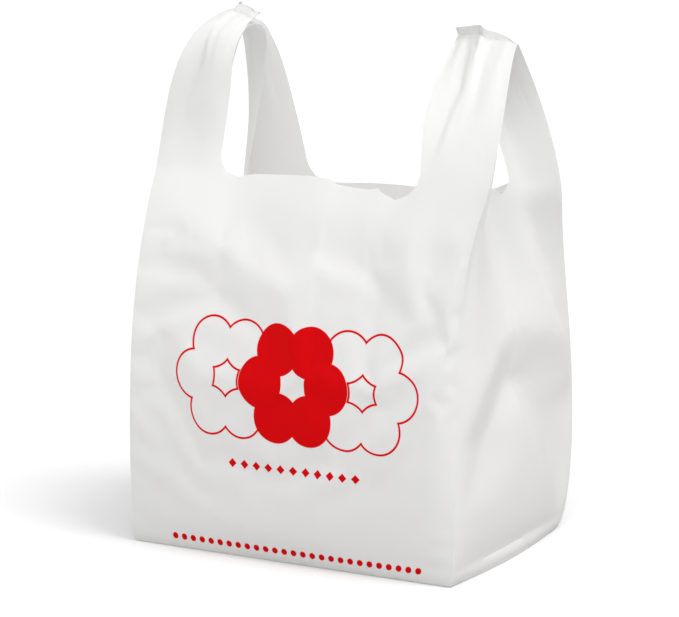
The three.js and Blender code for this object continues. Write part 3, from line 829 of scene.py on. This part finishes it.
film_material = bpy.data.materials.new("printed film")
film_material.use_nodes = True
film_tree = film_material.node_tree
flat_place = film_tree.nodes.new("ShaderNodeUVMap")
flat_place.uv_map = "flat"
flat_parts = film_tree.nodes.new("ShaderNodeSeparateXYZ")
film_tree.links.new(flat_place.outputs["UV"], flat_parts.inputs["Vector"])
place_along = flat_parts.outputs["X"]
place_up = flat_parts.outputs["Y"]
inks = []
for step in (-1, 0, 1):
    rosette = film_tree.nodes.new("ShaderNodeGroup")
    rosette.node_tree = rosette_tree
    film_tree.links.new(place_along, rosette.inputs["Along"])
    film_tree.links.new(place_up, rosette.inputs["Up"])
    rosette.inputs["Middle along"].default_value = print_middle + step * rosette_step
    rosette.inputs["Middle up"].default_value = rosette_height
    rosette.inputs["Reach"].default_value = petal_reach
    rosette.inputs["Petal"].default_value = petal_radius
    rosette.inputs["Petals"].default_value = petal_count
    rosette.inputs["Line"].default_value = ink_line
    rosette.inputs["Solid"].default_value = 1 - abs(step)
    inks.append(rosette.outputs["Ink"])


def add_row(up, step, side, size, round_shape):
    """A row of small shapes about the print's middle, at one height: dots or diamonds."""
    from_middle = add_math(film_tree, "SUBTRACT", place_along, print_middle)
    number = add_math(film_tree, "ROUND", add_math(film_tree, "DIVIDE", from_middle, step))
    number = add_math(film_tree, "MINIMUM", add_math(film_tree, "MAXIMUM", number, -side), side)
    centre = add_math(film_tree, "MULTIPLY", number, step)
    across = add_math(film_tree, "ABSOLUTE", add_math(film_tree, "SUBTRACT", from_middle, centre))
    over = add_math(film_tree, "ABSOLUTE", add_math(film_tree, "SUBTRACT", place_up, up))
    if round_shape:
        reach = add_length(film_tree, across, over)
    else:
        reach = add_math(film_tree, "ADD", across, over)
    return add_ink(film_tree, add_math(film_tree, "SUBTRACT", size, reach))


inks.append(add_row(diamond_height, diamond_step, diamond_side, diamond_size, round_shape=False))
inks.append(add_row(dot_height, dot_step, dot_side, dot_radius, round_shape=True))
ink = inks[0]
for more in inks[1:]:
    ink = add_math(film_tree, "MAXIMUM", ink, more)
film_colour = film_tree.nodes.new("ShaderNodeMix")
film_colour.data_type = "RGBA"
film_colour.inputs["A"].default_value = film_white
film_colour.inputs["B"].default_value = ink_red
film_tree.links.new(ink, film_colour.inputs["Factor"])

# Surface of the film
# The film is satin white and lets some light through, and its ink shines less. It is finely crinkled all
# over, and fine gathers run up the handles, drawn out along the film, and fade out at the mouth.
film_roughness = 0.29
film_shine = 0.5
ink_shine = 0.12
film_glow = 0.59
crinkle_scale = 55
crinkle_detail = 4
crinkle_strength = 0.20
crinkle_depth = 0.002
gather_across = 75
gather_up = 8
gather_scale = 1
gather_detail = 1.5
gather_wander = 0.3
gather_from = 0.385
gather_full = 0.46
gather_depth = 0.003

object_place = film_tree.nodes.new("ShaderNodeTexCoord")
crinkle = film_tree.nodes.new("ShaderNodeTexNoise")
crinkle.inputs["Scale"].default_value = crinkle_scale
crinkle.inputs["Detail"].default_value = crinkle_detail
crinkle_bump = film_tree.nodes.new("ShaderNodeBump")
crinkle_bump.inputs["Strength"].default_value = crinkle_strength
crinkle_bump.inputs["Distance"].default_value = crinkle_depth
film_tree.links.new(object_place.outputs["Object"], crinkle.inputs["Vector"])
film_tree.links.new(crinkle.outputs["Fac"], crinkle_bump.inputs["Height"])

gather_place = film_tree.nodes.new("ShaderNodeCombineXYZ")
film_tree.links.new(add_math(film_tree, "MULTIPLY", place_along, gather_across), gather_place.inputs["X"])
film_tree.links.new(add_math(film_tree, "MULTIPLY", place_up, gather_up), gather_place.inputs["Y"])
gathers = film_tree.nodes.new("ShaderNodeTexNoise")
gathers.inputs["Scale"].default_value = gather_scale
gathers.inputs["Detail"].default_value = gather_detail
gathers.inputs["Distortion"].default_value = gather_wander
film_tree.links.new(gather_place.outputs["Vector"], gathers.inputs["Vector"])
gather_share = film_tree.nodes.new("ShaderNodeMapRange")
gather_share.interpolation_type = "SMOOTHSTEP"
gather_share.inputs["From Min"].default_value = gather_from
gather_share.inputs["From Max"].default_value = gather_full
film_tree.links.new(place_up, gather_share.inputs["Value"])
gather_bump = film_tree.nodes.new("ShaderNodeBump")
gather_bump.inputs["Distance"].default_value = gather_depth
film_tree.links.new(gather_share.outputs["Result"], gather_bump.inputs["Strength"])
film_tree.links.new(gathers.outputs["Fac"], gather_bump.inputs["Height"])
film_tree.links.new(crinkle_bump.outputs["Normal"], gather_bump.inputs["Normal"])

film_shader = film_tree.nodes["Principled BSDF"]
film_shader.inputs["Roughness"].default_value = film_roughness
film_tree.links.new(film_colour.outputs["Result"], film_shader.inputs["Base Color"])
shine = add_math(film_tree, "MULTIPLY_ADD", ink, ink_shine - film_shine, film_shine)
film_tree.links.new(shine, film_shader.inputs["Specular IOR Level"])
film_tree.links.new(gather_bump.outputs["Normal"], film_shader.inputs["Normal"])
film_through = film_tree.nodes.new("ShaderNodeBsdfTranslucent")
film_tree.links.new(film_colour.outputs["Result"], film_through.inputs["Color"])
film_blend = film_tree.nodes.new("ShaderNodeMixShader")
film_blend.inputs["Fac"].default_value = film_glow
film_tree.links.new(film_shader.outputs["BSDF"], film_blend.inputs[1])
film_tree.links.new(film_through.outputs["BSDF"], film_blend.inputs[2])
film_tree.links.new(film_blend.outputs["Shader"], film_tree.nodes["Material Output"].inputs["Surface"])
film_mesh.materials.append(film_material)

# Thickness of the film
# The real film is about a tenth as thick as this, which is just enough wall for a closed body. It shades
# smoothly apart from its sharp folds and its cut edges.
film_thickness = 0.00012
sharp_fold = math.radians(42)

film_mesh.shade_smooth()
thickness = bag.modifiers.new("thickness", "SOLIDIFY")
thickness.thickness = film_thickness
thickness.offset = 0
thick_mesh = bpy.data.meshes.new_from_object(bag.evaluated_get(bpy.context.evaluated_depsgraph_get()))
bag.modifiers.clear()
bag.data = thick_mesh
thick_mesh.set_sharp_from_angle(angle=sharp_fold)

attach(bag, "root")
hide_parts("bag")
